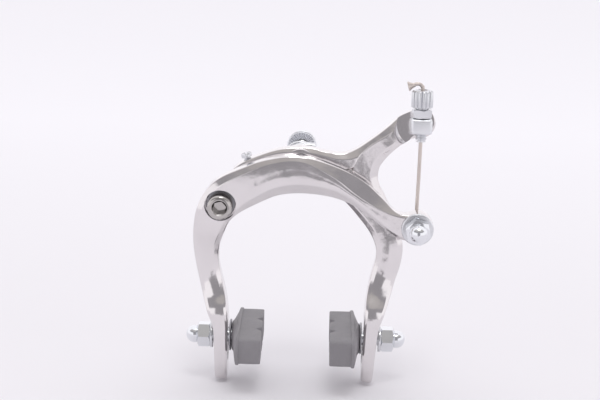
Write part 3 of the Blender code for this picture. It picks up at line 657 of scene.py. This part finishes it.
def build_pivots():
    bolt = turned("side_bolt", [
        (2.6, -3.4), (3.0, -3.8), (3.0, -19.9), (5.0, -19.9), (5.35, -20.2), (5.4, -21.0),
        (5.4, -27.9), (5.3, -28.6), (5.0, -29.1), (4.5, -29.4), (4.0, -29.5)], at(SIDE), sides=72)
    boolean(bolt, turned("mouth_tool", [(2.6, -28.6), (3.5, -29.6)], at(SIDE), sides=48))
    boolean(bolt, prism("socket_tool", 5.2, -31.0, -25.0, at(SIDE), spin=0.3))
    hand_in(bolt, "side_pivot_bolt_look", BOLT, ["side_pivot_bolt"], "bridge")
    ring = flat_washer("side_ring", 6.5, 3.25, -19.6, -18.6, at(SIDE))
    hand_in(ring, "side_pivot_washer_look", STEEL, ["side_pivot_washer"], "bridge")

    bridge = arm_body("bridge_look", [
        (8.0, 1.5, 13.0, -7.5, -3.0, 0.7, 0.7, 0.0, 0.7),
        (0.0, -1.0, 17.0, -7.5, -3.0, 0.7, 0.7, 0.0, 0.7),
        (-17.0, -8.8, 13.0, -7.5, -3.0, 0.7, 0.7, 0.0, 0.7),
        (-34.2, -17.0, 15.0, -7.5, -3.0, 0.7, 0.7, 0.0, 0.7),
        (-40.0, -19.9, 9.0, -7.5, -3.0, 0.7, 0.7, 0.0, 0.7),
    ], side=1, per_span=10)
    boolean(bridge, turned("bore_tool", [(M6_BORE, 0), (M6_BORE, -10)], (0, 0, 0)))
    boolean(bridge, turned("bore_tool", [(M6_BORE, 0), (M6_BORE, -10)], at(SIDE)))
    boolean(bridge, turned("bore_tool", [(1.2, 0), (1.2, -10)], (-5.6, 0, -1.0), sides=24))
    hand_in(bridge, "pivot_bridge_look", ZINC, ["pivot_bridge"], "bridge")

    centre = turned("centre_bolt_look", [(2.4, 40.0)] + thread(3.0, 0.5, 8.0, 39.9, 1.0) + [
        (3.0, 7.8), (3.0, -12.3), (4.7, -12.3), (5.0, -12.6), (5.0, -14.6), (4.6, -15.0)],
        (0, 0, 0), sides=48)
    hand_in(centre, "centre_bolt_look", ZINC, ["centre_bolt"], "bridge")
    seat = flat_washer("seat", 8.0, M6_BORE, -2.7, 0.0, (0, 0, 0), edge=0.4)
    hand_in(seat, "seat_washer_look", ZINC, ["seat_washer"], "bridge")
    spacer = flat_washer("spacer", 6.9, M6_BORE, 29.6, 32.2, (0, 0, 0), edge=0.6)
    hand_in(spacer, "rear_spacer_look", SATIN, ["rear_spacer"], "bridge")
    nut = prism("rear_nut", 10.0, 32.5, 37.5, (0, 0, 0), spin=0.5)
    boolean(nut, turned("corner_tool", [(4.8, 37.5), (5.95, 36.9), (5.95, 33.1), (5.0, 32.5)],
                        (0, 0, 0)), "INTERSECT")
    boolean(nut, turned("bore_tool", [(M6_BORE, 45), (M6_BORE, 25)], (0, 0, 0)))
    hand_in(nut, "mounting_nut_look", ZINC, ["mounting_nut"], "bridge")

    teeth = 32
    tooth_height = 0.7 * MM
    star = turned("star", [
        (M6_BORE, 29.3), (6.1, 29.3), (6.3, 29.1), (6.3, 28.1), (M6_BORE, 28.1)],
                  (0, 0, 0), sides=teeth * 4, ring=True)
    for vert in star.data.vertices:
        if vert.co.y < 0.02815:
            angle = math.atan2(vert.co.z, vert.co.x) / (2 * math.pi) * teeth
            vert.co.y -= tooth_height * (1 - abs(2 * (angle % 1.0) - 1))
    hand_in(star, "serrated_washer_look", SATIN, ["serrated_washer"], "bridge", 20)

    screw = turned("small_screw", [
        (1.6, 2.7), (2.1, 2.5), (2.3, 2.1), (2.3, 0.9), (1.4, 0.9)]
        + thread(1.4, 0.2, -9.4, 0.6, 0.5) + [(1.4, -9.7), (0.9, -10.2)],
        (0, 0, 0), (0, 0, 1), 40)
    boolean(screw, brick("slot_tool", (-3, -0.35, 1.7), (3, 0.35, 4)))
    boolean(screw, brick("slot_tool", (-0.35, -3, 1.7), (0.35, 3, 4)))
    stand(screw, SCREW_TOP, SCREW_WAY)
    hand_in(screw, "centring_screw_look", ZINC, ["centring_screw"], "centring")


def build_adjuster():
    x, z = BLOCK
    block = soften(brick("block", (x - 4.6, -19.8, z - 3.3), (x + 4.6, -10.9, z + 3.3)), 1.1, 4)
    boolean(block, turned("pin_tool", [
        (2.7, -3.7), (3.0, -4.0), (3.0, -4.6), (2.4, -4.6), (2.4, -5.3), (3.0, -5.3),
        (3.0, -12.0)], at(BLOCK), sides=48), "UNION")
    boolean(block, turned("bore_tool", [(2.9, 30), (2.9, 10)], (x, WIRE_Y, 0), (0, 0, 1)))
    hand_in(block, "adjuster_block_look", SATIN, ["adjuster_block"], "swivel")

    lock = prism("lock", 8.0, 22.6, 26.2, (x, WIRE_Y, 0), (0, 0, 1), math.radians(8))
    boolean(lock, turned("corner_tool", [(4.0, 26.2), (4.75, 25.7), (4.75, 23.1), (4.0, 22.6)],
                         (x, WIRE_Y, 0), (0, 0, 1), 72), "INTERSECT")
    boolean(lock, turned("bore_tool", [(2.8, 30), (2.8, 20)], (x, WIRE_Y, 0), (0, 0, 1)))
    hand_in(lock, "adjuster_lock_nut_look", ZINC, ["adjuster_lock_nut"], "lock_nut")

    ribs = 15
    head = turned("head", [
        (3.3, 34.6), (3.9, 34.5), (4.5, 34.1), (4.7, 33.7), (4.7, 27.6), (4.6, 27.2),
        (4.3, 27.0), (3.4, 27.0)], (0, 0, 0), (0, 0, 1), ribs * 10)
    for vert in head.data.vertices:
        radius = math.hypot(vert.co.x, vert.co.y)
        if radius > 0.0043:
            angle = math.atan2(vert.co.y, vert.co.x) * ribs
            cut = 1 - 0.15 * ((1 - math.cos(angle)) / 2) ** 3
            vert.co.x *= cut
            vert.co.y *= cut
    stem = turned("stem_tool", [(2.5, 28.0), (2.5, 26.9)] + thread(2.5, 0.42, 12.4, 26.8, 1.1)
                  + [(2.1, 12.0)], (0, 0, 0), (0, 0, 1), 48)
    boolean(head, stem, "UNION")
    boolean(head, turned("bore_tool", [(1.3, 40), (1.3, 10)], (0, 0, 0), (0, 0, 1), 32))
    boolean(head, turned("mouth_tool", [(3.2, 35.0), (2.7, 34.2), (2.7, 30)], (0, 0, 0),
                         (0, 0, 1), 48))
    stand(head, (x, WIRE_Y, 0), (0, 0, 1))
    hand_in(head, "barrel_adjuster_look", ZINC, ["barrel_adjuster"], "barrel", 40)


def build_anchor():
    bolt = turned("anchor_bolt_look", [
        (4.6, -10.6), (5.0, -11.0), (5.0, -16.9), (3.0, -16.9), (3.0, -33.2), (2.6, -33.6)],
        at(ANCHOR), sides=64)
    boolean(bolt, turned("hole_tool", [(1.1, 10), (1.1, -10)], (ANCHOR[0], WIRE_Y, ANCHOR[1]),
                         (0, 0, 1), 24))
    hand_in(bolt, "anchor_bolt_look", ZINC, ["anchor_bolt"], "anchor")
    ring = flat_washer("anchor_ring", 7.0, M6_BORE, -26.9, -25.3, at(ANCHOR), edge=0.6)
    hand_in(ring, "anchor_washer_look", ZINC, ["anchor_washer"], "anchor")
    nut = domed_nut("anchor_nut_look", at(ANCHOR, -27.2), (0, -1, 0), 0.0, 0.2)
    hand_in(nut, "anchor_nut_look", CHROME, ["anchor_nut"], "anchor")

    route = [(ANCHOR[0], WIRE_Y, -30.6), (ANCHOR[0], WIRE_Y, -18.0), (51.85, WIRE_Y, -4.0),
             (52.0, WIRE_Y, 11.0), (52.0, WIRE_Y, 34.0), (51.8, WIRE_Y, 35.8),
             (51.1, WIRE_Y, 36.8), (50.0, WIRE_Y, 37.2), (48.6, WIRE_Y, 37.0),
             (47.0, WIRE_Y, 36.4)]
    curve = bpy.data.curves.new("wire", "CURVE")
    curve.dimensions = "3D"
    curve.bevel_depth = 0.8 * MM
    curve.bevel_resolution = 6
    curve.use_fill_caps = True
    line = curve.splines.new("POLY")
    run = smooth_run(route, 6)
    line.points.add(len(run) - 1)
    for point, where in zip(line.points, run):
        point.co = (*(c * MM for c in where), 1.0)
    wire = bpy.data.objects.new("wire", curve)
    bpy.context.scene.collection.objects.link(wire)
    pick(wire)
    bpy.ops.object.convert(target="MESH")
    wire = bpy.context.object
    bpy.ops.object.mode_set(mode="EDIT")
    bpy.ops.mesh.select_all(action="SELECT")
    bpy.ops.mesh.remove_doubles(threshold=0.000005)
    bpy.ops.mesh.normals_make_consistent(inside=False)
    bpy.ops.object.mode_set(mode="OBJECT")
    splay = turned("splay_tool", [
        (1.7, 0.0), (2.0, -0.1), (2.1, -0.45), (1.5, -1.3), (1.05, -2.2), (0.78, -3.2)],
        (45.6, WIRE_Y, 36.0), (-1.0, 0.0, -0.25), 32)
    boolean(splay, turned("mouth_tool", [(1.6, 0.5), (0.5, -0.9)], (45.6, WIRE_Y, 36.0),
                          (-1.0, 0.0, -0.25), 32))
    boolean(wire, splay, "UNION")
    hand_in(wire, "inner_wire_look", STRAND, ["inner_wire"], "anchor")


def pulled_pad(name, side):
    """Pull the pad's outline along X: boss, sloping back, flange, waist and block."""
    middle = STUD_Z - 0.3
    rows = [
        (28.35, 6.0, 5.8, 2.3), (28.2, 6.5, 6.3, 2.3), (27.6, 7.4, 6.8, 2.4),
        (26.3, 21.6, 6.6, 4.0), (25.9, 23.6, 7.0, 5.5), (25.7, 24.1, 7.15, 6.0),
        (24.7, 24.1, 7.15, 6.0), (24.5, 23.9, 7.0, 7.0), (24.35, 23.3, 6.0, 12.0),
        (24.1, 23.1, 5.8, 16.0), (20.0, 23.1, 5.75, 18.0), (15.5, 23.0, 5.7, 18.0),
        (15.15, 22.9, 5.6, 18.0), (15.0, 22.6, 5.3, 18.0),
    ]
    count = 96
    deselect()
    bpy.ops.mesh.primitive_circle_add(vertices=count, radius=0.001, fill_type="NGON")
    pad = bpy.context.object
    pad.name = name
    bpy.ops.object.mode_set(mode="EDIT")
    bpy.ops.mesh.select_mode(type="EDGE")
    for i, (x, length, height, power) in enumerate(rows):
        if i:
            bpy.ops.mesh.extrude_edges_move()
        bm = bmesh.from_edit_mesh(pad.data)
        bm.verts.ensure_lookup_table()
        for k, vert in enumerate(bm.verts[-count:]):
            angle = 2 * math.pi * (k + 0.5) / count
            c, s = math.cos(angle), math.sin(angle)
            y = math.copysign(abs(c) ** (2 / power), c) * length
            z = math.copysign(abs(s) ** (2 / power), s) * height
            vert.co = (side * x * MM, (STUD_Y + y) * MM, (middle + z) * MM)
        bmesh.update_edit_mesh(pad.data)
    bpy.ops.mesh.edge_face_add()
    bpy.ops.mesh.select_all(action="SELECT")
    bpy.ops.mesh.normals_make_consistent(inside=False)
    bpy.ops.object.mode_set(mode="OBJECT")
    return pad


def build_shoe(word, side, inner, outer, arm_spin):
    stud_at = (0, STUD_Y, STUD_Z)
    way = (side, 0, 0)
    pad = pulled_pad(word + "_pad", side)
    boolean(pad, turned("bore_tool", [(M6_BORE, 30), (M6_BORE, 19.7)], stud_at, way))
    for shift in (-7.2, 7.2):
        boolean(pad, prism("notch_tool", 3.8, -9, 9,
                           (side * 14.9, STUD_Y + shift, STUD_Z), (0, 0, 1), 0.0, 4))
    soften(pad, 0.3, 2, 50)
    hand_in(pad, word + "_brake_pad_look", RUBBER, [word + "_brake_pad"], word + "_pad",
            40)
    stud = turned("stud", [(2.6, outer + 7.6), (3.0, outer + 7.2), (3.0, 20.4), (2.6, 20.0)],
                  stud_at, way, 48)
    hand_in(stud, word + "_shoe_stud_look", ZINC, [word + "_shoe_stud"], word + "_pad")
    dish = inner - 0.2
    cup = turned("cup", [(M6_BORE, dish), (6.7, dish), (7.0, dish - 0.15), (7.1, dish - 0.4),
                         (7.0, dish - 0.65), (6.7, dish - 0.8), (M6_BORE, dish - 0.8)],
                 stud_at, way, 72, ring=True)
    hand_in(cup, word + "_dished_washer_look", STEEL, [word + "_dished_washer"],
            word + "_clamp")
    ring = flat_washer("ring", 5.9, M6_BORE, outer + 0.2, outer + 1.4, stud_at, way)
    hand_in(ring, word + "_shoe_washer_look", ZINC, [word + "_shoe_washer"], word + "_clamp")
    nut = domed_nut(word + "_nut", stud_at, way, outer + 1.6, arm_spin)
    hand_in(nut, word + "_shoe_nut_look", CHROME, [word + "_shoe_nut"], word + "_clamp")


def dress_kept_nodes():
    """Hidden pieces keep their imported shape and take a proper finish."""
    for name, material in (("centre_bushing", BRONZE), ("side_pivot_bushing", BRONZE),
                           ("return_spring", STEEL), ("adjuster_clip", STEEL)):
        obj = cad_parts[name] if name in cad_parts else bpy.data.objects[name]
        if not isinstance(obj, bpy.types.Object):
            obj = bpy.data.objects[name]
        obj.data.materials.clear()
        obj.data.materials.append(material)


build_set()
build_front_arm()
build_rear_arm()
build_pivots()
build_adjuster()
build_anchor()
build_shoe("left", -1, 29.7, 36.7, math.radians(34))
build_shoe("right", 1, 29.4, 36.4, math.radians(30))
dress_kept_nodes()
